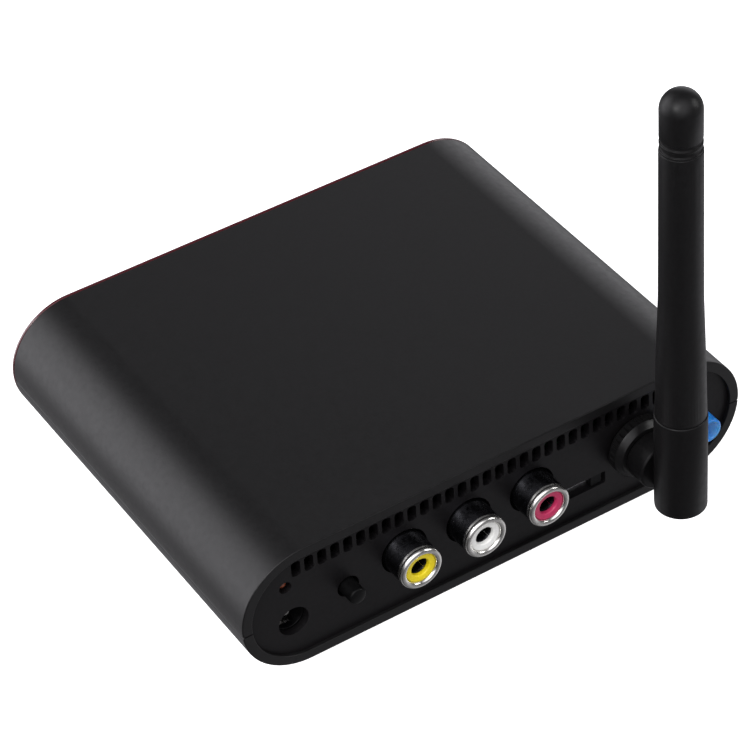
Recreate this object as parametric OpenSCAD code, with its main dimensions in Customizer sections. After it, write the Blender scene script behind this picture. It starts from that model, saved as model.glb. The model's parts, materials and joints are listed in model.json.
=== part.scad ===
// Wireless audio and video receiver: a flat extruded case with a connector panel
// at the back (-Y), a smoked window at the front (+Y) and a hinged rod antenna.
// Origin: the middle of the footprint, on the surface the receiver stands on.

/* [Case] */
// Width of the case, over its rounded sides
case_w = 105.4; // [100:0.2:115]
// Height of the case without its feet
case_h = 26.2; // [25:0.2:28]
// Depth of the case, front window included
case_d = 83.8; // [82:0.1:92]
// Wall thickness of the two shells
wall = 2; // [1.8:0.1:2.2]
// Thickness of the front window's flange, which covers the end of the case
window_t = 0.6; // [0.4:0.1:1.5]
// How far the rubber feet stand below the case
foot_h = 1; // [0.5:0.1:2]

/* [Connector panel] */
// How far the panel face lies inside the rim of the shells
panel_in = 0.8; // [0.4:0.1:1.2]
// Thickness of the connector panel
panel_t = 1.6; // [1.2:0.1:2]
// Number of vent slots
vent_n = 32; // [20:1:32]
// Distance from one vent slot to the next
vent_pitch = 2.61; // [2.5:0.01:2.65]
// Width of a vent slot
vent_w = 1.8; // [1:0.1:1.8]
// Height of a vent slot
vent_h = 3.3; // [1.5:0.1:3.3]

/* [Phono sockets] */
// Distance from one phono socket to the next
rca_pitch = 13.45; // [13:0.05:13.5]
// Outer diameter of a phono socket's sleeve
rca_d = 8.5; // [8.3:0.1:8.6]
// How far the sleeves reach out past the rim of the case
rca_out = 4.95; // [4:0.05:6]

/* [Antenna] */
// Diameter of the antenna's lower section
antenna_base_d = 9.5; // [9.2:0.1:9.6]
// Length of the antenna from its hinge to its tip
antenna_l = 84.1; // [80:0.1:110]
// Distance from the rim of the case out to the hinge
hinge_out = 13.1; // [12.8:0.1:14]
// How far the antenna leans back towards the case from upright, in degrees
lean = 1; // [0:0.5:2]

/* [Travel] */
// Travel of the power button
button_travel = 1.8; // [1:0.1:2]
// Distance between two detents of the channel switch
channel_step = 2; // [1.5:0.1:2]

/* [Hidden] */
$fn = 64;

eps = 0.01;
mid_z = case_h / 2;
shell_l = case_d - window_t;
in_w = case_w - 2 * wall;
in_h = case_h - 2 * wall;
// The footprint runs from the front of the antenna to the front window.
base_r = antenna_base_d / 2;
base_bottom = 4.7;
antenna_reach = hinge_out + base_r * cos(lean) + base_bottom * sin(lean);
rear_y = (antenna_reach - case_d) / 2;

// Panel groove in the shells
groove = 1;
groove_gap = 0.05;
panel_back = panel_in + panel_t;

// Parting line of the shells, a little below the middle, and the lap joint inside it,
// which stops short of both ends of the case
split_z = mid_z - 0.9;
lap_h = 1.2;
lap_gap = 0.1;
lap_y0 = panel_back + 0.3;
lap_y1 = shell_l - 0.5;

// Case screw posts, feet and board screws: x is mirrored
post_x = 36;
post_ys = [22, 66];
post_d = 6.6;
foot_d = 8.8;
foot_sink = 0.5;
boss_x = 41;
boss_ys = [33, 55];

// Main board
board_z = 4;
board_t = 1.6;
board_top = board_z + board_t;
board_w = 90;
board_ys = [3.2, 78];

// Places on the panel, x across and z above the bottom of the case
rca_z = 13.7;
rca_xs = [-19.4, -19.4 + rca_pitch, -19.4 + 2 * rca_pitch];
dc_x = -42.25;
dc_z = 9.8;
button_x = -31.05;
button_z = 11.8;
led_x = -43.3;
led_z = 18.3;
slot_x = 18.55;
slot_z = 8.3;
slot_w = 9.7;
slot_h = 2.7;
knob_x = 21.55;
sma_x = 29.8;
sma_z = 13.7;
ir_x = 44;
ir_z = 11.1;
vent_z = case_h - 4.7;
vent_x = -0.5;

// Antenna
arm_r = 4.77;
shoulder_out = 7.9;
tongue_r = 3.3;
tongue_t = 4;
slot_gap = 0.12;
feed_r = 0.9;
seam_up = 16.2;
cap_up = antenna_l - 11.5;

black = [0.07, 0.07, 0.075];
satin = [0.13, 0.13, 0.135];
nickel = [0.8, 0.79, 0.76];
gold = [0.85, 0.68, 0.3];
steel = [0.6, 0.6, 0.62];
ptfe = [0.93, 0.93, 0.9];
yellow = [0.86, 0.71, 0.12];
white = [0.88, 0.87, 0.83];
red = [0.74, 0.15, 0.28];
blue = [0.1, 0.38, 0.85];

// ---- helpers -------------------------------------------------------------

// From the case's own frame (rim of the panel end at y = 0, bottom at z = 0)
module place() {
    translate([0, rear_y, foot_h]) children();
}

// Children's local z points out of the connector panel, local y points up.
module facing_rear(x, z) {
    translate([x, 0, z]) rotate([90, 0, 0]) children();
}

// Extrudes a 2D outline (x across, y up) between two depths
module slab(y0, y1) {
    translate([0, y1, 0]) rotate([90, 0, 0]) linear_extrude(y1 - y0) children();
}

module box(x0, x1, y0, y1, z0, z1) {
    translate([x0, y0, z0]) cube([x1 - x0, y1 - y0, z1 - z0]);
}

// Cross-section of the case: flat top and bottom, half-round sides
module stadium(w, h) {
    translate([0, mid_z]) {
        square([w - h, h], center = true);
        for (side = [-1, 1])
            translate([side * (w - h) / 2, 0]) circle(d = h, $fn = 96);
    }
}

module round_rect(w, h, r) {
    square([w - 2 * r, h], center = true);
    square([w, h - 2 * r], center = true);
    for (sx = [-1, 1], sy = [-1, 1])
        translate([sx * (w / 2 - r), sy * (h / 2 - r)]) circle(r = r, $fn = 24);
}

module at_posts() {
    for (side = [-1, 1], y = post_ys)
        translate([side * post_x, y, 0]) children();
}

module at_bosses() {
    for (side = [-1, 1], y = boss_ys)
        translate([side * boss_x, y, 0]) children();
}

// Tube from z0 to z1 about the local z axis
module tube(r_out, r_in, z0, z1) {
    translate([0, 0, z0]) difference() {
        cylinder(r = r_out, h = z1 - z0);
        translate([0, 0, -1]) cylinder(r = r_in, h = z1 - z0 + 2);
    }
}

module rod(r, z0, z1) {
    translate([0, 0, z0]) cylinder(r = r, h = z1 - z0);
}

// ---- case ----------------------------------------------------------------

module shell_section(z0, z1) {
    intersection() {
        difference() {
            stadium(case_w, case_h);
            stadium(in_w, in_h);
        }
        translate([-case_w, z0]) square([2 * case_w, z1 - z0]);
    }
}

module panel_groove() {
    slab(panel_in - groove_gap, panel_back + groove_gap)
        stadium(in_w + 2 * groove, in_h + 2 * groove);
}

module upper_shell() place() color(satin) difference() {
    union() {
        slab(0, shell_l) shell_section(split_z, case_h + 1);
        at_posts() rod(post_d / 2, split_z - 0.3, case_h - wall / 2);
    }
    panel_groove();
    // Rebate that takes the lower shell's lip
    slab(lap_y0 - lap_gap, lap_y1 + lap_gap) intersection() {
        stadium(case_w - wall, case_h - wall);
        translate([-case_w, split_z - 1]) square([2 * case_w, 1 + lap_h + lap_gap]);
        difference() {
            square([2 * case_w, 4 * case_h], center = true);
            square([in_w - 1, 4 * case_h], center = true);
        }
    }
    at_posts() rod(1.26, split_z - 1, 19);
}

module lower_shell() place() color(satin) difference() {
    union() {
        slab(0, shell_l) shell_section(-1, split_z);
        slab(lap_y0, lap_y1) intersection() {
            difference() {
                stadium(case_w - wall - 2 * lap_gap, case_h - wall - 2 * lap_gap);
                stadium(in_w, in_h);
            }
            translate([-case_w, split_z - 1]) square([2 * case_w, 1 + lap_h]);
        }
        at_posts() rod(post_d / 2, wall / 2, split_z - 0.5);
        at_bosses() rod(2.5, wall * 0.6, board_z);
    }
    panel_groove();
    at_posts() {
        rod(1.4, -1, split_z);
        rod(2.4, -1, 3.2);
        rod(foot_d / 2 + 0.1, -1, foot_sink);
    }
    at_bosses() rod(1.01, 1.9, board_z + 1);
}

module panel_holes() {
    for (x = rca_xs) translate([x, rca_z]) circle(r = 4.7);
    translate([dc_x, dc_z]) circle(r = 3);
    translate([button_x, button_z]) circle(r = 2.2);
    translate([led_x, led_z]) circle(r = 1.2);
    translate([slot_x, slot_z]) round_rect(slot_w, slot_h, 0.3);
    translate([sma_x, sma_z]) circle(r = 3.25);
    translate([ir_x, ir_z]) circle(r = 2.7);
    for (i = [0 : vent_n - 1])
        translate([vent_x + (i - (vent_n - 1) / 2) * vent_pitch, vent_z])
            round_rect(vent_w, vent_h, 0.6);
}

module rear_panel() place() color(black)
    slab(panel_in, panel_back) difference() {
        stadium(in_w + 2 * groove - 0.2, in_h + 2 * groove - 0.2);
        panel_holes();
    }

module front_window() place() color([0.16, 0.02, 0.03, 0.9]) {
    slab(shell_l, case_d) stadium(case_w, case_h);
    slab(shell_l - 2, shell_l + eps) stadium(in_w - 0.2, in_h - 0.2);
    slab(shell_l - 3.5, shell_l - 1.9) difference() {
        stadium(in_w - 0.2, in_h - 0.2);
        stadium(in_w - 3, in_h - 3);
    }
}

module rubber_feet() place() color([0.05, 0.05, 0.05])
    at_posts() rod(foot_d / 2, -foot_h, foot_sink);

// Pan-head screw: head below its seat at z = 0, shank rising above it
module screw(head_r, head_h, shank_r, shank_l) {
    difference() {
        union() {
            rod(head_r, -head_h, 0);
            rod(shank_r, -eps, shank_l);
        }
        for (a = [0, 90]) rotate([0, 0, a])
            translate([-head_r * 0.6, -0.25, -head_h - 1]) cube([head_r * 1.2, 0.5, 1.7]);
    }
}

module case_screws() place() color(steel)
    at_posts() translate([0, 0, 3.2]) screw(2.2, 1.6, 1.25, 14);

module board_screws() place() color(steel)
    at_bosses() translate([0, 0, board_top]) mirror([0, 0, 1]) screw(1.9, 1.3, 1, 3.5);

// ---- main board ----------------------------------------------------------

module main_board() place() color([0.05, 0.3, 0.15])
    difference() {
        box(-board_w / 2, board_w / 2, board_ys[0], board_ys[1], board_z, board_top);
        at_posts() rod(post_d / 2 + 0.5, 0, case_h);
        at_bosses() rod(1.15, 0, case_h);
    }

module decoder_chip() place() color(black) {
    box(-14, -2, 36, 48, board_top + 0.2, board_top + 1.6);
    for (i = [0 : 9]) {
        translate([-13 + i * 1.1, 35, board_top]) cube([0.5, 14, 0.3]);
        translate([-15, 37 + i * 1.1, board_top]) cube([14, 0.5, 0.3]);
    }
}

module regulator() place() color(black) {
    box(-38, -31.5, 40, 46, board_top, board_top + 2.3);
    for (i = [-1 : 1]) translate([-34.75 + i * 2.3, 46 - eps, board_top]) cube([0.8, 2.5, 0.5]);
}

module capacitors() place() color([0.14, 0.16, 0.3])
    for (p = [[-27, 36], [-27, 46], [-18, 30], [-4, 26], [4, 62]])
        translate([p[0], p[1], 0]) {
            rod(3.15, board_top + 0.3, board_top + 8.5);
            rod(2.6, board_top, board_top + 0.4);
        }

module crystal() place() color(steel) {
    translate([-8, 57, 0]) for (side = [-1, 1])
        translate([side * 3, 0, 0]) rod(2.2, board_top, board_top + 3.4);
    box(-11, -5, 57 - 2.2, 57 + 2.2, board_top, board_top + 3.4);
}

module tuner_can() place() color(nickel) difference() {
    box(10, 38, 30, 62, board_top, board_top + 6);
    box(10.4, 37.6, 30.4, 61.6, board_top - 1, board_top + 5.6);
    for (i = [0 : 3], j = [0 : 2])
        translate([16 + 5 * i, 39 + 7 * j, board_top]) cylinder(r = 1, h = 8, $fn = 24);
}

module ir_receiver() place() color([0.1, 0.08, 0.12]) {
    box(-22.8, -17.2, 73.4, 77.4, board_top + 1, board_top + 8);
    translate([-20, 77.3, board_top + 5]) rotate([-90, 0, 0]) cylinder(r1 = 2, r2 = 1.4, h = 1.2);
    for (i = [-1 : 1]) box(-20.3 + 2 * i, -19.7 + 2 * i, 75, 75.5, board_top, board_top + 1.2);
}

module front_led() place() color([0.8, 0.15, 0.1]) {
    translate([0, 72.5, board_top + 4]) rotate([-90, 0, 0]) {
        cylinder(r = 1.9, h = 1);
        cylinder(r = 1.5, h = 4);
        translate([0, 0, 4]) sphere(r = 1.5);
    }
    for (side = [-1, 1]) box(side * 1.1 - 0.25, side * 1.1 + 0.25, 72, 72.6, board_top, board_top + 4.4);
}

// ---- phono sockets -------------------------------------------------------

// Moulded body that stands on the board and holds the sleeve
module rca_body(x) place() color(black) difference() {
    box(x - 5.2, x + 5.2, panel_back + 0.2, 12, board_top, rca_z + 5.2);
    facing_rear(x, rca_z) {
        rod(4.5, -6.5, 0);
        rod(3.95, -7.3, 0);
    }
}

// Plated sleeve with a rolled lip around its mouth
module rca_sleeve(x) place() color(nickel) facing_rear(x, rca_z)
    rotate_extrude() {
        lip = 0.62;
        translate([3.97, -6]) square([rca_d / 2 - 3.97, rca_out - lip + 6]);
        translate([3.97, -2.6]) square([0.48, 2]);
        translate([rca_d / 2 - lip, rca_out - lip]) circle(r = lip, $fn = 32);
    }

// Coloured insulator with a rounded mouth over the contact
module rca_insulator(x, c) place() color(c) facing_rear(x, rca_z)
    rotate_extrude() polygon([
        [2, -7], [3.9, -7], [3.9, rca_out - 1.5], [2.95, rca_out - 1.3],
        [2.95, rca_out - 0.5], [2.1, rca_out - 0.5], [1.75, rca_out - 0.9],
        [1.75, rca_out - 1.4], [2, rca_out - 1.4]
    ]);

// Split centre contact that grips the plug's pin
module rca_contact(x) place() color(nickel) facing_rear(x, rca_z) difference() {
    tube(1.97, 1.6, -7, rca_out - 1.6);
    for (a = [45, 135]) rotate([0, 0, a])
        translate([-3, -0.2, -4]) cube([6, 0.4, 12]);
}

module video_jack_body() rca_body(rca_xs[0]);
module left_jack_body() rca_body(rca_xs[1]);
module right_jack_body() rca_body(rca_xs[2]);
module video_jack_sleeve() rca_sleeve(rca_xs[0]);
module left_jack_sleeve() rca_sleeve(rca_xs[1]);
module right_jack_sleeve() rca_sleeve(rca_xs[2]);
module video_jack_insulator() rca_insulator(rca_xs[0], yellow);
module left_jack_insulator() rca_insulator(rca_xs[1], white);
module right_jack_insulator() rca_insulator(rca_xs[2], red);
module video_jack_contact() rca_contact(rca_xs[0]);
module left_jack_contact() rca_contact(rca_xs[1]);
module right_jack_contact() rca_contact(rca_xs[2]);

// ---- power inlet ---------------------------------------------------------

module dc_jack_body() place() color(black) difference() {
    box(dc_x - 4.5, dc_x + 4.5, panel_back + 0.2, 15.6, board_top, dc_z + 4.2);
    facing_rear(dc_x, dc_z) {
        rod(2.85, -12.2, 0);
        rod(1.07, -16, 0);
    }
    box(dc_x - 1.3, dc_x + 1.3, 4, 12, dc_z - 3.8, dc_z);
}

module dc_jack_pin() place() color(nickel) facing_rear(dc_x, dc_z) {
    rod(1.05, -15.4, -4);
    translate([0, 0, -4]) cylinder(r1 = 1.05, r2 = 0.6, h = 0.6);
}

module dc_jack_spring() place() color(nickel)
    box(dc_x - 1.1, dc_x + 1.1, 4.2, 11.8, dc_z - 3.7, dc_z - 3.3);

// ---- power switch --------------------------------------------------------

button_stop = 6;
button_end = 7;
chamber_end = 11.6;

module power_switch_body() place() color(black) difference() {
    box(button_x - 4.25, button_x + 4.25, panel_back + 0.2, 12.8, board_top, button_z + 4.4);
    facing_rear(button_x, button_z) {
        rod(1.7, -8, 0);
        rod(2.45, -chamber_end, -button_stop);
    }
}

// Round push button with a collar that keeps it in the switch
module power_button() place() color(black) facing_rear(button_x, button_z)
    rotate_extrude() polygon([
        [0, -button_end], [2.2, -button_end], [2.2, -button_stop - 0.02],
        [1.65, -button_stop - 0.02], [1.65, 2.35], [1.35, 2.65], [0, 2.65]
    ]);

function ring_point(r, wire_r, turn, side, sides, pitch) = [
    (r + wire_r * cos(360 * side / sides)) * cos(360 * turn),
    (r + wire_r * cos(360 * side / sides)) * sin(360 * turn),
    pitch * turn + wire_r * sin(360 * side / sides)
];

// Helical spring about the local z axis, rising from z = 0
module coil_spring(r, wire_r, turns, pitch) {
    steps = 18;
    sides = 6;
    rings = turns * steps;
    points = [
        for (i = [0 : rings], s = [0 : sides - 1])
            ring_point(r, wire_r, i / steps, s, sides, pitch)
    ];
    wrap = [
        for (i = [0 : rings - 1], s = [0 : sides - 1])
            [i * sides + s, i * sides + (s + 1) % sides,
             (i + 1) * sides + (s + 1) % sides, (i + 1) * sides + s]
    ];
    start = [for (s = [0 : sides - 1]) sides - 1 - s];
    finish = [for (s = [0 : sides - 1]) rings * sides + s];
    polyhedron(points, concat([start], wrap, [finish]), convexity = 10);
}

module power_switch_spring() place() color(steel) facing_rear(button_x, button_z)
    translate([0, 0, -chamber_end + 0.25])
        coil_spring(1.7, 0.2, 4, (chamber_end - button_end - 0.5) / 4);

// ---- channel switch ------------------------------------------------------

frame_w = 11.4;

module channel_switch_frame() place() color(steel) difference() {
    box(slot_x - frame_w / 2, slot_x + frame_w / 2, 2.5, 6.5, slot_z - 2.6, slot_z + 2.6);
    box(slot_x - frame_w / 2 + 0.5, slot_x + frame_w / 2 - 0.5, 3, 7, slot_z - 2.1, slot_z + 2.1);
    box(slot_x - 4.6, slot_x + 4.6, 2, 4, slot_z - 0.55, slot_z + 0.55);
}

module channel_switch_base() place() color(black) {
    box(slot_x - frame_w / 2, slot_x + frame_w / 2, 6.5, 8.5, slot_z - 2.6, slot_z + 2.6);
    box(slot_x - 5, slot_x + 5, 7, 8.5, board_top, slot_z);
}

// Thumb piece and neck on a wider slider that runs inside the frame
module channel_knob() place() color(black) {
    box(knob_x - 1.2, knob_x + 1.2, 1.1, 2.3, slot_z - 1.15, slot_z + 1.15);
    box(knob_x - 1, knob_x + 1, 2.2, 4.1, slot_z - 0.45, slot_z + 0.45);
    box(knob_x - 2, knob_x + 2, 4, 6.2, slot_z - 1.9, slot_z + 1.9);
}

// ---- infrared extender socket -------------------------------------------

module ir_jack_body() place() color(black) difference() {
    box(ir_x - 3.5, ir_x + 3.5, panel_back + 0.2, 14.6, board_top, ir_z + 3.6);
    facing_rear(ir_x, ir_z) {
        rod(2.52, -4.6, 0);
        rod(1.8, -13.6, 0);
    }
    for (side = [-1, 1])
        translate([ir_x - 0.5, 6, ir_z + side * 2.2 - 0.8]) cube([1, 7, 1.6]);
}

module ir_jack_collar() place() color(blue) facing_rear(ir_x, ir_z)
    rotate_extrude() polygon([
        [1.8, -4.6], [2.5, -4.6], [2.5, 2.85], [2.3, 3.05], [2, 3.05], [1.8, 2.85]
    ]);

module ir_jack_springs() place() color(gold)
    for (side = [-1, 1])
        translate([ir_x - 0.4, 6.2, ir_z + side * 2.3 - 0.15]) cube([0.8, 6.6, 0.3]);

// ---- status light --------------------------------------------------------

module status_led() place() color([0.85, 0.4, 0.15]) facing_rear(led_x, led_z) {
    rod(1.1, -6.2, -2.6);
    translate([0, 0, -2.6]) sphere(r = 1.1);
    rod(1.5, -6.2, -5.4);
}

module status_led_leads() place() color(steel)
    for (side = [-0.6, 0.6]) translate([led_x + side, 0, 0]) {
        box(-0.2, 0.2, 6.2, 17.6, led_z - 0.2, led_z + 0.2);
        box(-0.2, 0.2, 17.2, 17.6, board_top, led_z + 0.2);
    }

// ---- antenna socket ------------------------------------------------------

sma_r = 3.175;
jack_end = 3.6;

module sma_jack() place() color(gold) facing_rear(sma_x, sma_z) difference() {
    union() {
        rod(sma_r, -6.6, jack_end);
        translate([0, 0, -panel_in]) cylinder(r = 4.6, h = 0.45, $fn = 6);
        rod(2.4, -8.6, -6);
    }
    rod(2.05, -6.4, 5);
    rod(0.95, -9, 0);
}

module sma_insulator() place() color(ptfe) facing_rear(sma_x, sma_z)
    tube(2.03, 0.66, -6.4, 3.2);

module sma_contact() place() color(gold) facing_rear(sma_x, sma_z) difference() {
    rod(0.64, -7, 3.2);
    rod(0.47, 0.4, 4);
}

module sma_washer() place() color(nickel) facing_rear(sma_x, sma_z)
    tube(4.9, 3.2, -panel_back - 0.5, -panel_back);

module sma_nut() place() color(gold) facing_rear(sma_x, sma_z) difference() {
    translate([0, 0, -panel_back - 2.5]) cylinder(r = 4.6, h = 2, $fn = 6);
    rod(3.19, -9, 0);
}

pigtail_bend = 4;
pigtail_turn_y = 22;

module coax_pigtail() place() color([0.25, 0.2, 0.17]) {
    translate([sma_x, 7.2, sma_z]) rotate([-90, 0, 0]) cylinder(r = feed_r, h = pigtail_turn_y - 7.2);
    translate([sma_x, pigtail_turn_y, sma_z - pigtail_bend]) rotate([90, 0, 90])
        rotate_extrude(angle = 90) translate([pigtail_bend, 0]) circle(r = feed_r);
    translate([sma_x, pigtail_turn_y + pigtail_bend, 0]) rod(feed_r, board_top + 2.2, sma_z - pigtail_bend);
}

module pigtail_plug() place() color(gold)
    translate([sma_x, pigtail_turn_y + pigtail_bend, 0]) difference() {
        rod(1.7, board_top, board_top + 2.6);
        rod(feed_r + 0.02, board_top + 2.2, board_top + 3);
    }

// ---- antenna -------------------------------------------------------------

// Knurled coupling nut that screws onto the socket
module coupling_nut() place() color(black) facing_rear(sma_x, sma_z) difference() {
    rotate_extrude() polygon([
        [3.2, -0.2], [5.9, -0.2], [6.2, 0.1], [6.2, 1.9], [5.3, 3.05], [3.85, 3.05],
        [3.85, 4.6], [2.5, 4.6], [2.5, 3.9], [3.2, 3.9]
    ]);
    for (i = [0 : 29]) rotate([0, 0, 12 * i])
        translate([6.3, 0, 0.3]) cylinder(r = 0.32, h = 1.4, $fn = 4);
}

// Outline of the arm's tongue, seen along the hinge: local x runs out, y up
module tongue_outline() {
    translate([shoulder_out - 0.5, -tongue_r]) square([hinge_out - shoulder_out + 0.5, 2 * tongue_r]);
    translate([hinge_out, 0]) circle(r = tongue_r);
}

module antenna_arm() place() color(black) difference() {
    union() {
        facing_rear(sma_x, sma_z) rotate_extrude() polygon([
            [0, 3.25], [arm_r - 0.3, 3.25], [arm_r, 3.55], [arm_r, shoulder_out - 0.3],
            [arm_r - 0.3, shoulder_out], [0, shoulder_out]
        ]);
        translate([sma_x - tongue_t / 2, 0, sma_z]) rotate([90, 0, -90])
            mirror([0, 0, 1]) linear_extrude(tongue_t) tongue_outline();
    }
    facing_rear(sma_x, sma_z) {
        rod(4.1, 0, 4.8);
        rod(2.42, 0, 6.8);
        rod(feed_r + 0.05, 0, hinge_out);
    }
    // Slit for the feed, open to the front and the top
    box(sma_x - feed_r - 0.1, sma_x + feed_r + 0.1, -hinge_out - 4, -hinge_out + 1,
        sma_z - feed_r - 0.1, sma_z + 5);
    translate([sma_x - 5, -hinge_out, sma_z]) rotate([0, 90, 0]) cylinder(r = 1.05, h = 10);
}

module antenna_ferrule() place() color(gold) facing_rear(sma_x, sma_z) difference() {
    union() {
        rod(2.95, 3.64, 3.86);
        rod(2.4, 3.64, 6.7);
    }
    rod(0.85, 3, 8);
}

module antenna_pin() place() color(gold) facing_rear(sma_x, sma_z) {
    rod(0.45, 0.9, 7);
    rod(0.83, 4.4, 5.4);
}

module arm_feed() place() color([0.25, 0.2, 0.17]) facing_rear(sma_x, sma_z)
    rod(feed_r, 7.02, hinge_out - 1);

// Frame at the hinge: x along the hinge, z along the antenna
module at_hinge() {
    place() translate([sma_x, -hinge_out, sma_z]) rotate([-lean, 0, 0]) children();
}

module hinge_pins() at_hinge() color(steel)
    for (side = [0, 180]) rotate([0, 0, side]) translate([1.1, 0, 0])
        rotate([0, 90, 0]) cylinder(r = 1, h = 3.1);

// Lower section: slotted at the back for the arm's tongue
module antenna_base() at_hinge() color(black) difference() {
    bottom = base_bottom;
    union() {
        rotate_extrude() polygon([
            [0, -bottom], [base_r - 0.25, -bottom], [base_r, 0.25 - bottom], [base_r, seam_up - 0.15],
            [base_r - 0.15, seam_up], [0, seam_up]
        ]);
        rod(3, seam_up - 1, seam_up + 6);
    }
    translate([-tongue_t / 2 - slot_gap, -tongue_r - 0.3, -bottom - 1])
        cube([tongue_t + 2 * slot_gap, 12, bottom + 1 + tongue_r + 0.3]);
    rod(feed_r + 0.05, 0, seam_up + 7);
    rotate([0, 90, 0]) translate([0, 0, -4.2]) cylinder(r = 1.01, h = 8.4);
    // Rounds the back corner of the ears so that they clear the arm's shoulder
    translate([-6, 0, -7]) difference() {
        cube([12, 7, 7]);
        translate([-1, 0, 7]) rotate([0, 90, 0]) cylinder(r = bottom, h = 14);
    }
}

module antenna_sleeve() at_hinge() color(black)
    rotate_extrude() polygon([
        [3.02, seam_up], [4.45, seam_up], [4.59, seam_up + 0.15], [4.34, seam_up + 12],
        [4.12, seam_up + 19], [3.9, seam_up + 26], [3.84, seam_up + 36],
        [3.76, cap_up - 0.1], [3.66, cap_up],
        [2.3, cap_up], [2.3, seam_up + 6.4], [3.02, seam_up + 6.4]
    ]);

// Tip cap: a plug in the sleeve, two grooves and a domed end
module antenna_cap() at_hinge() color(black)
    rotate_extrude() {
        tip_r = 3.68;
        difference() {
            union() {
                translate([0, cap_up - 4]) square([2.25, 5]);
                translate([0, cap_up]) square([tip_r, antenna_l - tip_r - cap_up]);
                intersection() {
                    translate([0, antenna_l - tip_r]) circle(r = tip_r);
                    translate([0, antenna_l - tip_r - 1]) square([tip_r + 1, tip_r + 2]);
                }
            }
            for (up = [0.4, 1.75]) translate([tip_r - 0.22, cap_up + up]) square([1, 0.8]);
        }
    }

module antenna_choke() at_hinge() color(gold) tube(2.1, 1.7, 25, 45);

module antenna_feed() at_hinge() color([0.25, 0.2, 0.17]) rod(feed_r, 1, 45.2);

module antenna_radiator() at_hinge() color(gold) {
    rod(0.5, 46, 68);
    rod(1.65, 45.2, 46);
}

upper_shell();
lower_shell();
rear_panel();
front_window();
rubber_feet();
case_screws();
main_board();
board_screws();
video_jack_body();
left_jack_body();
right_jack_body();
video_jack_sleeve();
left_jack_sleeve();
right_jack_sleeve();
video_jack_insulator();
left_jack_insulator();
right_jack_insulator();
video_jack_contact();
left_jack_contact();
right_jack_contact();
dc_jack_body();
dc_jack_pin();
dc_jack_spring();
power_switch_body();
power_button();
power_switch_spring();
channel_switch_base();
channel_switch_frame();
channel_knob();
ir_jack_body();
ir_jack_collar();
ir_jack_springs();
status_led();
status_led_leads();
sma_jack();
sma_insulator();
sma_contact();
sma_washer();
sma_nut();
coax_pigtail();
pigtail_plug();
tuner_can();
decoder_chip();
regulator();
capacitors();
crystal();
ir_receiver();
front_led();
coupling_nut();
antenna_arm();
antenna_ferrule();
antenna_pin();
arm_feed();
hinge_pins();
antenna_base();
antenna_sleeve();
antenna_cap();
antenna_radiator();
antenna_choke();
antenna_feed();
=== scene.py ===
import json
import math

import bmesh
import bpy
from mathutils import Matrix, Vector


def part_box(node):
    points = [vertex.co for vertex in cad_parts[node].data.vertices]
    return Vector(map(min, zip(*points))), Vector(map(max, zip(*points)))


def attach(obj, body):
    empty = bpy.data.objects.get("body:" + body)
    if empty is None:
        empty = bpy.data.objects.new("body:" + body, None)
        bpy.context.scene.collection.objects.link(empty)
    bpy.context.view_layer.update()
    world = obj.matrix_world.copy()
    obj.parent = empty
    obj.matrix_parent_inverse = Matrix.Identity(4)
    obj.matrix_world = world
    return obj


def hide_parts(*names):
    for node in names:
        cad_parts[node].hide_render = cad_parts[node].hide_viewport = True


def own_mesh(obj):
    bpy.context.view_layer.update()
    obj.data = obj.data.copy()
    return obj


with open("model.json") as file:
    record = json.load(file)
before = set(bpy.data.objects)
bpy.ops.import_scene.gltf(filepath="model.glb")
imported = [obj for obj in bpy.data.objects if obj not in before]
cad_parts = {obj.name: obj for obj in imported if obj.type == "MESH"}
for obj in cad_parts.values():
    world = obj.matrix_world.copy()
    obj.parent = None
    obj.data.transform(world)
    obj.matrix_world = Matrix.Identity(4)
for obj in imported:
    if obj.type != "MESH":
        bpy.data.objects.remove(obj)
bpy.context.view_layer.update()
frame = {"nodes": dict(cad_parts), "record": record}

MM = 0.001
shell_lo, shell_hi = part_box("lower_shell")
upper_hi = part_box("upper_shell")[1]
MID_X = (shell_lo.x + shell_hi.x) / 2

WELD = 0.002 * MM                # points closer than this are one point
FLAT = math.radians(0.5)         # faces that meet flatter than this are one face
SHARP_EDGE = math.radians(28)    # edges that turn more than this are rounded
BEVEL_STEPS = 3


# ---- camera ---------------------------------------------------------------

AZIMUTH, ELEVATION, ROLL = -30.166, 40.514, -3.802    # degrees
AIM_DEPTH, AIM_HEIGHT = 41.7, 12.9                     # mm from the bottom of the connector end
SHIFT_RIGHT, SHIFT_UP, DISTANCE = 0.575, 2.134, 592.4  # mm
LENS, SENSOR = 154.26, 36
CLIP_START = 0.01


def add_camera():
    az, el, roll = math.radians(AZIMUTH), math.radians(ELEVATION), math.radians(ROLL)
    back = Vector((math.sin(az) * math.cos(el), -math.cos(az) * math.cos(el), math.sin(el)))
    flat = Vector((math.cos(az), math.sin(az), 0))
    up = back.cross(flat)
    right = flat * math.cos(roll) + up * math.sin(roll)
    top = up * math.cos(roll) - flat * math.sin(roll)
    aim = Vector((MID_X, shell_lo.y + AIM_DEPTH * MM, shell_lo.z + AIM_HEIGHT * MM))
    place = aim + (right * SHIFT_RIGHT + top * SHIFT_UP + back * DISTANCE) * MM
    camera = bpy.data.objects.new("camera", bpy.data.cameras.new("camera"))
    camera.matrix_world = Matrix((
        (right.x, top.x, back.x, place.x),
        (right.y, top.y, back.y, place.y),
        (right.z, top.z, back.z, place.z),
        (0, 0, 0, 1),
    ))
    camera.data.sensor_width = SENSOR
    camera.data.lens = LENS
    camera.data.clip_start = CLIP_START
    camera.data.dof.use_dof = False
    bpy.context.collection.objects.link(camera)
    bpy.context.scene.camera = camera


add_camera()


# ---- light and floor --------------------------------------------------------

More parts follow.
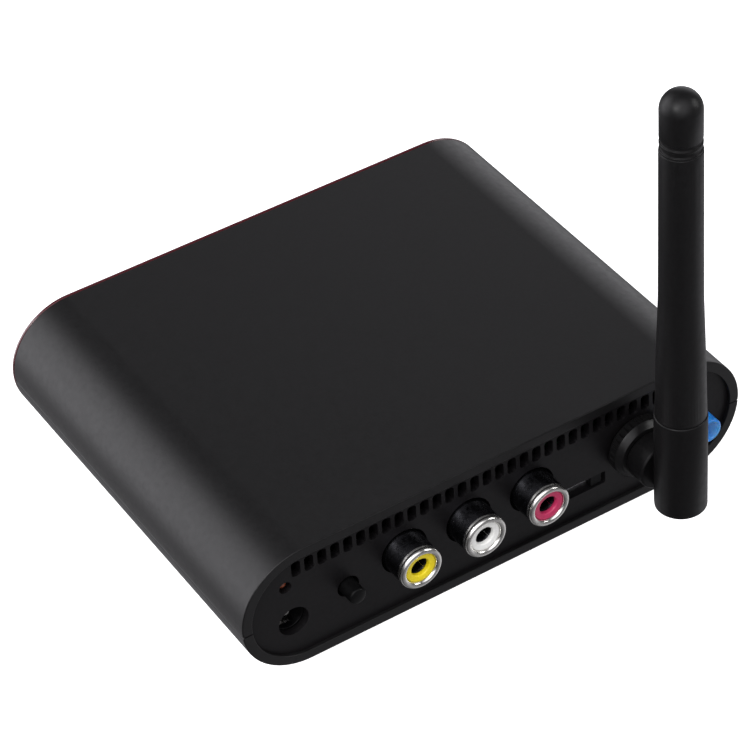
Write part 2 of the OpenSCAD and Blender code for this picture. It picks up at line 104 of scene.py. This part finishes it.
# The studio as the object sees it: the direction of each glow, the cosine where it starts, the cosine
# where it is full, and its strength
GLOWS = [
    ((-0.70, 0.66, 0.26), 0.74, 0.99, 3.2),
    ((-0.30, 0.66, 0.69), 0.70, 1.00, 0.12),
    ((0.72, 0.66, 0.15), 0.82, 0.99, 1.2),
    ((0.76, 0.0, -0.65), 0.70, 0.98, 0.5),
    ((-0.38, 0.66, -0.65), 0.62, 0.95, 0.42),
    ((0.38, 0.66, 0.65), 0.60, 1.00, 0.07),
    ((0.38, -0.66, -0.65), 0.50, 1.00, 0.2),
    ((-0.38, -0.66, 0.65), 0.62, 0.96, 2.0),
]
DARK_STUDIO = 0.06
STUDIO_COLOUR = (0.97, 0.96, 1.0, 1)

FLOOR_SIDE = 3.0
FLOOR_LOOK = {
    "Base Color": (0.8, 0.8, 0.8, 1),
    "Roughness": 0.9,
    "Specular IOR Level": 0.1,
    "Emission Color": (1, 1, 1, 1),
    "Emission Strength": 0.9,
}


def add_area(name, place, target, size, power):
    data = bpy.data.lights.new(name, "AREA")
    data.shape = "RECTANGLE"
    data.size, data.size_y = size
    data.energy = power
    light = bpy.data.objects.new(name, data)
    light.location = place
    light.rotation_euler = (Vector(target) - Vector(place)).to_track_quat("-Z", "Y").to_euler()
    bpy.context.collection.objects.link(light)


def add_world():
    world = bpy.data.worlds.new("studio")
    bpy.context.scene.world = world
    world.use_nodes = True
    tree = world.node_tree
    shade = tree.nodes["Background"]
    shade.inputs["Color"].default_value = STUDIO_COLOUR
    direction = tree.nodes.new("ShaderNodeTexCoord").outputs["Generated"]
    total = None
    for way, start, full, strength in GLOWS:
        along = tree.nodes.new("ShaderNodeVectorMath")
        along.operation = "DOT_PRODUCT"
        along.inputs[1].default_value = Vector(way).normalized()
        tree.links.new(direction, along.inputs[0])
        glow = tree.nodes.new("ShaderNodeMapRange")
        glow.interpolation_type = "SMOOTHSTEP"
        glow.inputs["From Min"].default_value = start
        glow.inputs["From Max"].default_value = full
        glow.inputs["To Max"].default_value = strength
        tree.links.new(along.outputs["Value"], glow.inputs["Value"])
        add = tree.nodes.new("ShaderNodeMath")
        add.operation = "ADD"
        add.inputs[0].default_value = DARK_STUDIO
        if total is not None:
            tree.links.new(total, add.inputs[0])
        tree.links.new(glow.outputs["Result"], add.inputs[1])
        total = add.outputs["Value"]
    tree.links.new(total, shade.inputs["Strength"])


def add_floor():
    """A bright white floor that the object neither reflects nor shades."""
    mesh = bpy.data.meshes.new("floor")
    corners = [(x * FLOOR_SIDE, y * FLOOR_SIDE, 0) for x, y in ((-1, -1), (1, -1), (1, 1), (-1, 1))]
    mesh.from_pydata(corners, [], [(0, 1, 2, 3)])
    floor = bpy.data.objects.new("floor", mesh)
    bpy.context.collection.objects.link(floor)
    mat = bpy.data.materials.new("floor")
    mat.use_nodes = True
    for socket, value in FLOOR_LOOK.items():
        mat.node_tree.nodes["Principled BSDF"].inputs[socket].default_value = value
    mesh.materials.append(mat)
    floor.visible_glossy = False
    floor.visible_diffuse = False
    floor.visible_shadow = False


add_floor()
add_world()
add_area("softbox_left", (-0.5, -0.25, 0.5), (0, 0, 0), (0.25, 0.25), 2.2)
add_area("softbox_right", (0.55, -0.35, 0.35), (0, 0, 0.02), (0.2, 0.3), 1.5)
bpy.context.scene.view_settings.view_transform = "Standard"
bpy.context.scene.view_settings.look = "None"


# ---- materials --------------------------------------------------------------

NOISE_LOW, NOISE_HIGH = 0.3, 0.7        # where nearly all of a noise texture's values lie
PLASTIC_CLOUDS, PLASTIC_SHINE = 1500, 900
METAL_CLOUDS, METAL_GRAIN = 1400, 1600
METAL_DEPTH = 0.001                     # mm
SOCKETS = {
    "metal": "Metallic", "specular": "Specular IOR Level", "coat": "Coat Weight", "glow": "Subsurface Weight",
}


class Look:
    """Builds one material's nodes: colour, roughness and bump all vary in the object's own space."""

    def __init__(self, name):
        self.mat = bpy.data.materials.new(name)
        self.mat.use_nodes = True
        self.tree = self.mat.node_tree
        self.shader = self.tree.nodes["Principled BSDF"]
        self.coords = self.tree.nodes.new("ShaderNodeTexCoord").outputs["Object"]

    def link(self, a, b):
        self.tree.links.new(a, b)

    def stretched(self, stretch):
        node = self.tree.nodes.new("ShaderNodeMapping")
        node.inputs["Scale"].default_value = stretch
        self.link(self.coords, node.inputs["Vector"])
        return node.outputs["Vector"]

    def noise(self, scale, detail=3.0, stretch=None):
        node = self.tree.nodes.new("ShaderNodeTexNoise")
        node.inputs["Scale"].default_value = scale
        node.inputs["Detail"].default_value = detail
        self.link(self.stretched(stretch) if stretch else self.coords, node.inputs["Vector"])
        return node.outputs["Fac"]

    def spread(self, value, low, high):
        node = self.tree.nodes.new("ShaderNodeMapRange")
        node.inputs["From Min"].default_value = NOISE_LOW
        node.inputs["From Max"].default_value = NOISE_HIGH
        node.inputs["To Min"].default_value = low
        node.inputs["To Max"].default_value = high
        self.link(value, node.inputs["Value"])
        return node.outputs["Result"]

    def colour(self, value, dark, light):
        node = self.tree.nodes.new("ShaderNodeMix")
        node.data_type = "RGBA"
        node.inputs["A"].default_value = (*dark, 1)
        node.inputs["B"].default_value = (*light, 1)
        self.link(self.spread(value, 0, 1), node.inputs["Factor"])
        self.link(node.outputs["Result"], self.shader.inputs["Base Color"])

    def roughness(self, value, low, high):
        self.link(self.spread(value, low, high), self.shader.inputs["Roughness"])

    def bump(self, value, distance):
        node = self.tree.nodes.new("ShaderNodeBump")
        node.inputs["Distance"].default_value = distance
        self.link(value, node.inputs["Height"])
        self.link(node.outputs["Normal"], self.shader.inputs["Normal"])

    def set(self, **values):
        for key, value in values.items():
            self.shader.inputs[SOCKETS[key]].default_value = value


def plastic(name, dark, light, rough, grain, depth, specular=0.4, **more):
    """Moulded plastic or rubber: a surface grain (noise scale, depth in mm) over slightly uneven colour."""
    look = Look(name)
    look.colour(look.noise(PLASTIC_CLOUDS), dark, light)
    look.roughness(look.noise(PLASTIC_SHINE), *rough)
    look.bump(look.noise(grain, 2), depth * MM)
    look.set(specular=specular, **more)
    return look.mat


def metal(name, dark, light, rough, stretch=None):
    """Plated or turned metal, with its fine marks drawn out where stretch says so."""
    look = Look(name)
    look.colour(look.noise(METAL_CLOUDS), dark, light)
    fine = look.noise(METAL_GRAIN, stretch=stretch)
    look.roughness(fine, *rough)
    look.bump(fine, METAL_DEPTH * MM)
    look.set(metal=1.0)
    return look.mat


BLACK = {"dark": (0.0042, 0.0040, 0.0042), "light": (0.0060, 0.0057, 0.0060)}
MOULDED = {"rough": (0.28, 0.38), "grain": 1800, "depth": 0.004}
PLASTICS = {
    "case_plastic": {**BLACK, "rough": (0.36, 0.44), "grain": 3200, "depth": 0.006, "specular": 0.3},
    "panel_plastic": {
        "dark": (0.0036, 0.0032, 0.0036), "light": (0.0052, 0.0047, 0.0052),
        "rough": (0.38, 0.48), "grain": 2600, "depth": 0.006, "specular": 0.2,
    },
    "window_plastic": {
        "dark": (0.055, 0.003, 0.007), "light": (0.07, 0.004, 0.009),
        "rough": (0.05, 0.09), "grain": 900, "depth": 0.0006, "specular": 0.5, "coat": 0.6,
    },
    "foot_rubber": {
        "dark": (0.012, 0.012, 0.012), "light": (0.022, 0.022, 0.022),
        "rough": (0.7, 0.85), "grain": 1800, "depth": 0.02, "specular": 0.3,
    },
    "board_laminate": {
        "dark": (0.01, 0.07, 0.03), "light": (0.02, 0.12, 0.05),
        "rough": (0.25, 0.35), "grain": 700, "depth": 0.01, "specular": 0.5,
    },
    "black_nylon": {
        "dark": (0.0018, 0.0018, 0.002), "light": (0.003, 0.003, 0.0032),
        "rough": (0.4, 0.5), "grain": 2400, "depth": 0.006, "specular": 0.12,
    },
    "yellow_plastic": {**MOULDED, "dark": (0.72, 0.56, 0.01), "light": (0.80, 0.65, 0.02)},
    "white_plastic": {**MOULDED, "dark": (0.76, 0.76, 0.73), "light": (0.84, 0.84, 0.81)},
    "red_plastic": {**MOULDED, "dark": (0.44, 0.025, 0.09), "light": (0.53, 0.04, 0.12)},
    "blue_plastic": {
        "dark": (0.008, 0.17, 0.68), "light": (0.015, 0.22, 0.8),
        "rough": (0.25, 0.35), "grain": 1800, "depth": 0.004, "specular": 0.5, "glow": 0.6,
    },
    "ptfe": {
        "dark": (0.75, 0.75, 0.72), "light": (0.85, 0.85, 0.82),
        "rough": (0.45, 0.55), "grain": 1500, "depth": 0.01,
    },
    "led_amber": {
        "dark": (0.16, 0.035, 0.012), "light": (0.22, 0.05, 0.018),
        "rough": (0.08, 0.14), "grain": 800, "depth": 0.002, "specular": 0.5, "coat": 0.8,
    },
    "led_red": {
        "dark": (0.5, 0.02, 0.02), "light": (0.6, 0.03, 0.03),
        "rough": (0.08, 0.14), "grain": 800, "depth": 0.002, "specular": 0.5, "coat": 0.5,
    },
    "coax_jacket": {
        "dark": (0.09, 0.05, 0.03), "light": (0.14, 0.08, 0.05),
        "rough": (0.4, 0.5), "grain": 1500, "depth": 0.01,
    },
    "antenna_plastic": {**BLACK, "rough": (0.34, 0.44), "grain": 2600, "depth": 0.006, "specular": 0.15},
    "antenna_rubber": {**BLACK, "rough": (0.36, 0.46), "grain": 2600, "depth": 0.006, "specular": 0.22},
    "black_nut": {
        "dark": (0.0042, 0.0040, 0.0042), "light": (0.0062, 0.006, 0.0062),
        "rough": (0.3, 0.4), "grain": 2200, "depth": 0.006, "specular": 0.22,
    },
    "capacitor_sleeve": {
        "dark": (0.015, 0.02, 0.08), "light": (0.025, 0.035, 0.12),
        "rough": (0.25, 0.35), "grain": 1200, "depth": 0.006, "specular": 0.5,
    },
}
METALS = {
    "steel": {
        "dark": (0.42, 0.42, 0.43), "light": (0.6, 0.6, 0.61), "rough": (0.3, 0.45), "stretch": (1, 8, 1),
    },
    "nickel": {"dark": (0.7, 0.69, 0.66), "light": (0.8, 0.79, 0.76), "rough": (0.2, 0.28)},
    # A dark copy of the nickel, painted shade: it stands for the dark panel mirrored in the socket barrels
    # and for the shade deep in the socket holes.
    "nickel_painted_shade": {"dark": (0.07, 0.07, 0.08), "light": (0.10, 0.10, 0.11), "rough": (0.22, 0.3)},
    "gold": {"dark": (0.65, 0.45, 0.16), "light": (0.82, 0.6, 0.25), "rough": (0.15, 0.28)},
}
MATERIALS = {name: plastic(name, **look) for name, look in PLASTICS.items()}
MATERIALS.update({name: metal(name, **look) for name, look in METALS.items()})

SLOT_OF = {s["node"]: s["material_slot"] for s in frame["record"]["subparts"]}
for node_name, obj in frame["nodes"].items():
    obj.data.materials.clear()
    obj.data.materials.append(MATERIALS[SLOT_OF[node_name]])


# ---- rounded edges on the CAD nodes that show ---------------------------------

# How wide each node's edges are rounded, in mm
ROUNDED = {
    "rear_panel": 0.12,
    "front_window": 0.15,
    "coupling_nut": 0.25,
    "antenna_arm": 0.2,
    "antenna_base": 0.15,
    "antenna_sleeve": 0.1,
    "antenna_cap": 0.12,
    "channel_knob": 0.12,
    "channel_switch_frame": 0.1,
    "dc_jack_body": 0.2,
}


def round_edges(obj, width):
    weld = obj.modifiers.new("weld", "WELD")
    weld.merge_threshold = WELD
    flat = obj.modifiers.new("flat", "DECIMATE")
    flat.decimate_type = "DISSOLVE"
    flat.angle_limit = FLAT
    bevel = obj.modifiers.new("bevel", "BEVEL")
    bevel.width = width * MM
    bevel.segments = BEVEL_STEPS
    bevel.limit_method = "ANGLE"
    bevel.angle_limit = SHARP_EDGE
    bevel.harden_normals = True


for node_name, width in ROUNDED.items():
    round_edges(frame["nodes"][node_name], width)


# ---- how a piece is made --------------------------------------------------------

def welded_copy(node):
    """A bmesh of a CAD node, with the points that its triangles share made one."""
    bm = bmesh.new()
    bm.from_mesh(frame["nodes"][node].data)
    bmesh.ops.remove_doubles(bm, verts=bm.verts, dist=WELD)
    return bm


def new_piece(name, bm, smooth=True, sharp=None):
    """A new object from a bmesh, shaded smooth apart from the edges that turn more than sharp degrees."""
    mesh = bpy.data.meshes.new(name)
    bm.to_mesh(mesh)
    bm.free()
    if smooth:
        mesh.shade_smooth()
    if sharp:
        mesh.set_sharp_from_angle(angle=math.radians(sharp))
    piece = bpy.data.objects.new(name, mesh)
    bpy.context.collection.objects.link(piece)
    return piece


def stands_for(piece, node, body="case"):
    """Gives a piece the material of its node's slot, and puts it in the node's place on a body."""
    piece.data.materials.append(MATERIALS[SLOT_OF[node]])
    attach(piece, body)
    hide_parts(node)
    return piece


def outer_end(lo, hi):
    """The middle of a box's end at the connector side, and how deep the box is in millimetres."""
    return Vector(((lo.x + hi.x) / 2, lo.y, (lo.z + hi.z) / 2)), (hi.y - lo.y) / MM


def arc(cx, cy, r, start, end, steps=6):
    """Points (radius, height) on an arc, in millimetres, angles in degrees."""
    return [
        (cx + r * math.cos(math.radians(start + (end - start) * i / steps)),
         cy + r * math.sin(math.radians(start + (end - start) * i / steps)))
        for i in range(steps + 1)
    ]


OUTWARD = Vector((0, -1, 0))
SLIT_ANGLE = 4       # degrees
TURNED_SHARP = 35    # degrees
AXIS_WELD = 0.0005 * MM


def turned(name, profile, centre, sides=64, slits=0):
    """A closed profile of (radius, height outward) in mm, turned in one ring or slit into sectors."""
    bm = bmesh.new()
    side = OUTWARD.orthogonal().normalized()
    third = OUTWARD.cross(side)
    n = len(profile)
    parts = max(slits, 1)
    gap = SLIT_ANGLE if slits else 0
    steps = sides // parts
    for part in range(parts):
        start = 360 / parts * part + gap / 2
        sweep = 360 / parts - gap
        rings = []
        for i in range(steps + bool(slits)):
            a = math.radians(start + sweep * i / steps)
            way = side * math.cos(a) + third * math.sin(a)
            rings.append([bm.verts.new(centre + (way * r + OUTWARD * h) * MM) for r, h in profile])
        if slits:
            bm.faces.new(rings[0])
            bm.faces.new(rings[-1])
        else:
            rings.append(rings[0])
        for here, there in zip(rings, rings[1:]):
            for k in range(n):
                bm.faces.new((here[k], here[(k + 1) % n], there[(k + 1) % n], there[k]))
    bmesh.ops.remove_doubles(bm, verts=bm.verts, dist=AXIS_WELD)
    bmesh.ops.recalc_face_normals(bm, faces=bm.faces)
    return new_piece(name, bm, sharp=TURNED_SHARP)


# ---- the two shells ---------------------------------------------------------------

SEAM_GAP = 0.13      # mm, each shell's share of the gap at the parting line
POST_DROP = 0.3      # mm, how far the upper shell's screw posts reach below the parting line
ON_SEAM = 0.02       # mm, how close to the parting line its points lie
ON_END = 0.01        # mm, how close to an end of the case its points lie
ON_SURFACE = 0.04    # mm, how close to the case's outer surface its points lie
MOUTH_DEPTH = 1.8    # mm, edges at the rim that lie deeper than this are the mouth's
FULL_LENGTH = 0.9    # edges longer than this share of the case run along the parting line
RIM_ROUND, MOUTH_ROUND = 0.25, 0.15    # mm
SHELL_SHARP = 30     # degrees


def eased_shell(name, node, away):
    """The CAD shell with a fine gap at its parting line, and its rim, parting line and mouth rounded over."""
    bm = welded_copy(node)
    bmesh.ops.dissolve_limit(bm, angle_limit=FLAT, verts=bm.verts, edges=bm.edges)
    half = (upper_hi.z - shell_lo.z) / 2
    straight = upper_hi.x - MID_X - half

    def depth(v):
        """How far a point lies inside the case's outer surface."""
        side = max(abs(v.co.x - MID_X) - straight, 0)
        return half - math.hypot(side, v.co.z - shell_lo.z - half)

    def sharp(test):
        return [
            e for e in bm.edges
            if len(e.link_faces) == 2 and e.calc_face_angle() > SHARP_EDGE and all(test(v) for v in e.verts)
        ]

    def ease(edges, width):
        bmesh.ops.bevel(
            bm, geom=edges, offset=width * MM, offset_type="OFFSET", segments=BEVEL_STEPS, profile=0.5,
            affect="EDGES", clamp_overlap=True,
        )

    seam_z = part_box("upper_shell")[0].z + POST_DROP * MM
    for v in bm.verts:
        if abs(v.co.z - seam_z) < ON_SEAM * MM:
            v.co.z += away * SEAM_GAP * MM
    rim_y = shell_lo.y + ON_END * MM
    far_y = shell_hi.y - ON_END * MM
    outline = sharp(lambda v: abs(depth(v)) < ON_SURFACE * MM)
    ease([
        e for e in outline
        if all(v.co.y < rim_y for v in e.verts) or all(v.co.y > far_y for v in e.verts)
        or e.calc_length() > (far_y - rim_y) * FULL_LENGTH and abs(e.verts[0].co.x - MID_X) > straight
    ], RIM_ROUND)
    ease(sharp(lambda v: v.co.y < rim_y and depth(v) > MOUTH_DEPTH * MM), MOUTH_ROUND)
    piece = new_piece(name, bm, sharp=SHELL_SHARP)
    weighted = piece.modifiers.new("weighted", "WEIGHTED_NORMAL")
    weighted.keep_sharp = True
    stands_for(piece, node)


eased_shell("case_top", "upper_shell", 1)
eased_shell("case_bottom", "lower_shell", -1)


# ---- the phono sockets ------------------------------------------------------------

# Radii in mm
SLEEVE_R, SLEEVE_BORE, WAIST_R = 4.25, 3.97, 4.2
BEAD_R = 0.62
INSULATOR_R, FACE_R, HOLE_R = 3.9, 3.0, 2.0
CONTACT_R, CONTACT_BORE = 1.96, 1.6
# Depths in mm
# BEAD_DEPTH is also where the barrel's painted reflection of the dark panel begins
BEAD_DEPTH = 1.4
CONTACT_SLITS, CONTACT_SIDES = 4, 48


def rca_sleeve(name):
    """Drawn nickel sleeve: the mouth is rolled outward into a full round bead, and the barrel behind it is
    painted dark as a painted reflection of the dark panel.
    """
    lo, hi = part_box(name + "_jack_sleeve")
    centre, length = outer_end(lo, hi)
    profile = arc(SLEEVE_R - BEAD_R, -BEAD_R, BEAD_R, 205, -40, 16)
    profile += [(WAIST_R, -1.35), (WAIST_R, -3.6), (SLEEVE_R, -3.75), (SLEEVE_R, -length)]
    profile += [(SLEEVE_BORE, -length), (SLEEVE_BORE, -1.5), (SLEEVE_R - 1.12, -1.2)]
    piece = stands_for(turned(name + "_sleeve", profile, centre), name + "_jack_sleeve")
    # Faces deeper than BEAD_DEPTH get the dark nickel: a painted reflection of the dark panel that the barrel
    # mirrors.
    piece.data.materials.append(MATERIALS["nickel_painted_shade"])
    for face in piece.data.polygons:
        face.material_index = 1 if face.center.y > lo.y + BEAD_DEPTH * MM else 0


def rca_insulator(name):
    """Moulded insulator: a flat ring inside the bead, then a rounded funnel down to the contact."""
    centre, length = outer_end(*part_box(name + "_jack_insulator"))
    profile = [(FACE_R, -0.75), (FACE_R, -0.15)]
    profile += arc(FACE_R - 0.15, -0.15, 0.15, 0, 90, 3) + [(2.6, -0.02), (2.2, -0.1)]
    profile += arc(2.12, -0.42, 0.32, 100, 180, 4) + [(1.75, -0.85), (HOLE_R, -0.88)]
    profile += [(HOLE_R, -length), (INSULATOR_R, -length), (INSULATOR_R, -1.05), (3.15, -0.85)]
    stands_for(turned(name + "_insulator", profile, centre), name + "_jack_insulator")


def rca_contact(name):
    """Centre contact: four springy quarters that flare at the mouth, painted dark as the shade deep inside
    the socket.
    """
    centre, length = outer_end(*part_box(name + "_jack_contact"))
    profile = [(CONTACT_R, -length), (CONTACT_R, -0.15)] + arc(CONTACT_R - 0.1, -0.1, 0.1, 0, 120, 4)
    profile += [(1.66, -0.35), (CONTACT_BORE, -0.8), (CONTACT_BORE, -length)]
    ring = turned(name + "_contact", profile, centre, CONTACT_SIDES, CONTACT_SLITS)
    piece = stands_for(ring, name + "_jack_contact")
    # Painted shade: the contact is darkened to stand for the shade deep in the socket hole.
    piece.data.materials[0] = MATERIALS["nickel_painted_shade"]


for jack in ("video", "left", "right"):
    rca_sleeve(jack)
    rca_insulator(jack)
    rca_contact(jack)


# ---- power button, blue collar, inlet leaf and switch spring ------------------------

BUTTON_R, BUTTON_COLLAR_R = 1.65, 2.2    # mm
BUTTON_EDGE = 0.35                       # mm, how far its edge is rounded
CROWN_R, CROWN = 1.3, 0.12               # mm, how far out the crowned face reaches, and its height


def power_button():
    """Round plunger with a softly crowned face, and the collar that keeps it in the switch."""
    centre, length = outer_end(*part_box("power_button"))
    profile = [(r, -CROWN * (r / CROWN_R) ** 2) for r in (0, 0.4, 0.8, 1.1)]
    profile += arc(BUTTON_R - BUTTON_EDGE, -0.5, BUTTON_EDGE, 80, 0, 5)
    profile += [(BUTTON_R, -length + 1.02), (BUTTON_COLLAR_R, -length + 0.98)]
    profile += [(BUTTON_COLLAR_R, -length), (0, -length)]
    stands_for(turned("button", profile, centre), "power_button", "power_button")


COLLAR_R, COLLAR_BORE, COLLAR_EDGE = 2.5, 1.8, 0.3    # mm


def ir_collar():
    """Blue collar with a rounded lip and a shallow counterbore."""
    centre, length = outer_end(*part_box("ir_jack_collar"))
    profile = arc(COLLAR_R - COLLAR_EDGE, -COLLAR_EDGE, COLLAR_EDGE, 0, 110, 5)
    profile += [(1.98, -0.12), (COLLAR_BORE, -0.45), (COLLAR_BORE, -length), (COLLAR_R, -length)]
    stands_for(turned("socket_collar", profile, centre), "ir_jack_collar")


LEAF_STEPS = 16
LEAF_THICK, LEAF_BOW, LEAF_EDGE = 0.25, 1.15, 0.04    # mm


def inlet_spring():
    """Contact leaf of the power inlet: a strip bowed up into the mouth, with a tail at the back."""
    lo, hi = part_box("dc_jack_spring")
    bm = bmesh.new()
    rows = []
    for i in range(LEAF_STEPS + 1):
        t = i / LEAF_STEPS
        bow = LEAF_BOW * MM * math.sin(math.pi * t) ** 2 * (0.4 + 0.6 * (1 - t))
        rise = 0 if t in (0, 1) else (hi.z - lo.z) / 2 + bow
        y = lo.y + (hi.y - lo.y) * t
        for z in (lo.z + rise, lo.z + rise + LEAF_THICK * MM):
            rows.append([bm.verts.new((x, y, z)) for x in (lo.x, hi.x)])
    for i in range(LEAF_STEPS):
        a, b, c, d = rows[2 * i], rows[2 * i + 1], rows[2 * i + 2], rows[2 * i + 3]
        bm.faces.new((b[0], b[1], d[1], d[0]))
        bm.faces.new((a[0], c[0], c[1], a[1]))
        bm.faces.new((a[0], b[0], d[0], c[0]))
        bm.faces.new((a[1], c[1], d[1], b[1]))
    bm.faces.new((rows[0][0], rows[0][1], rows[1][1], rows[1][0]))
    bm.faces.new((rows[-2][1], rows[-2][0], rows[-1][0], rows[-1][1]))
    bmesh.ops.recalc_face_normals(bm, faces=bm.faces)
    piece = new_piece("inlet_spring", bm, smooth=False)
    bevel = piece.modifiers.new("bevel", "BEVEL")
    bevel.width = LEAF_EDGE * MM
    bevel.segments = 2
    stands_for(piece, "dc_jack_spring")


def switch_spring():
    """The power switch's coil spring, made from its CAD node with a mesh of its own."""
    piece = new_piece("switch_spring", welded_copy("power_switch_spring"))
    stands_for(piece, "power_switch_spring")
    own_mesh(piece)


power_button()
ir_collar()
inlet_spring()
switch_spring()
